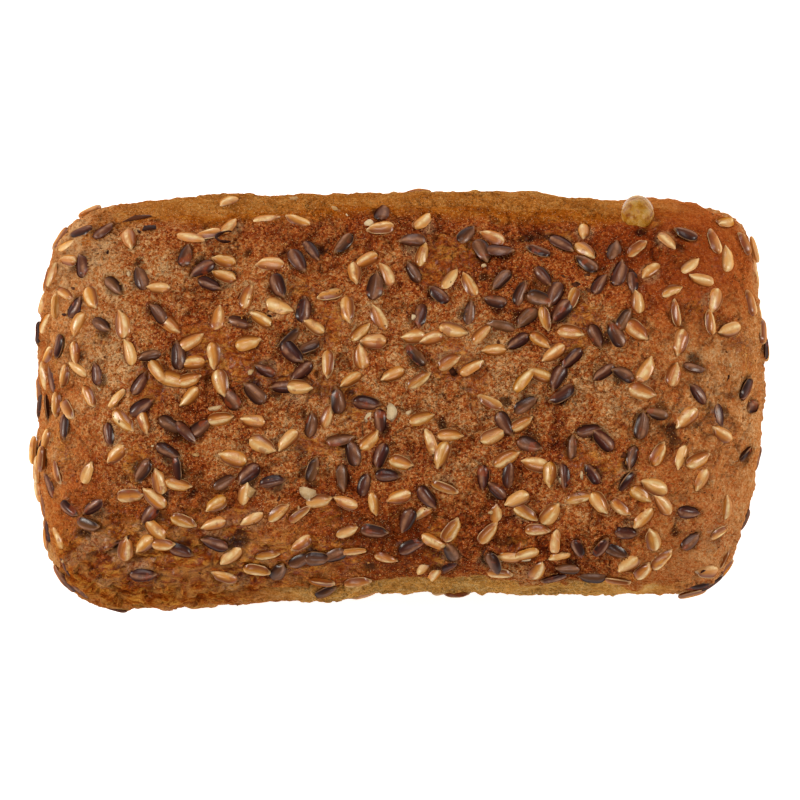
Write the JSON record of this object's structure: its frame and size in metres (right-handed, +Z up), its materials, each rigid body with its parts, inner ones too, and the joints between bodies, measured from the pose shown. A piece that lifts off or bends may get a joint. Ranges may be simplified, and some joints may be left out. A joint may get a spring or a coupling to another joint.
{
  "type": "bread roll",
  "caption": "Oblong baked bread roll with a domed top, low bulging sides, a flat base and flat seeds baked into its crust.",
  "frame": {"origin": "middle of the bounding box, on the flat base that the roll rests on", "axes": "+X along the roll's length, towards the picture's right; +Y across it, towards the picture's top; +Z up, towards the camera"},
  "size_m": [0.1342, 0.0774, 0.0479],
  "materials": {
    "crust": "baked reddish-brown crust, finely granular with a slight sheen, paler on the sides",
    "brown_seed": "glossy dark brown seed skin",
    "golden_seed": "glossy golden seed skin"
  },
  "bodies": {
    "root": {"bread_roll": "crust"}
  },
  "joints": []
}
